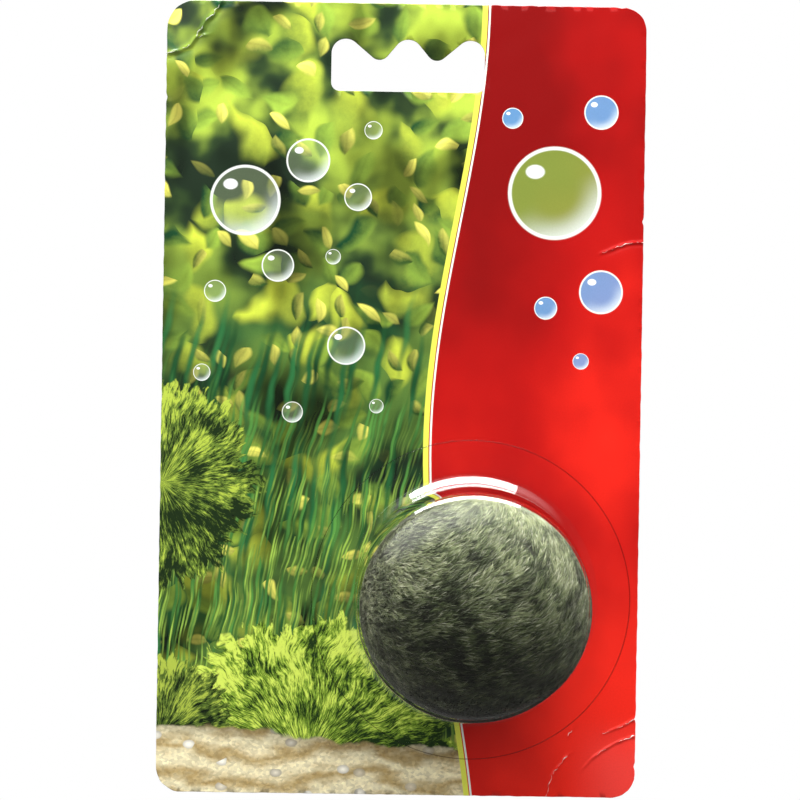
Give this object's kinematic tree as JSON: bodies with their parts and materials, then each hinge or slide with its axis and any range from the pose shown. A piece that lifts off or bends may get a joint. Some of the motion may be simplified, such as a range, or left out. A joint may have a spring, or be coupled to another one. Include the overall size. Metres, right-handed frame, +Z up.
{
  "type": "marimo moss ball in a blister pack",
  "caption": "Round green moss ball held in a clear plastic blister on a printed hanging card with a punched display-hook slot.",
  "frame": {"origin": "top of the middle hump of the hang slot, halfway through the card's thickness", "axes": "+Z up the card, +X to the right of its printed front, +Y out of its back, so the blister stands out towards -Y"},
  "size_m": [0.1, 0.0482, 0.165],
  "materials": {
    "printed_board": "gloss-coated print on the front, bare grey-white board on the back and edges",
    "clear_plastic": "clear, glossy, thermoformed",
    "moss": "dense short threads, matt with a soft sheen"
  },
  "bodies": {
    "root": {"backing_card": "printed_board", "clear_blister": "clear_plastic", "moss_ball": "moss"}
  },
  "joints": []
}
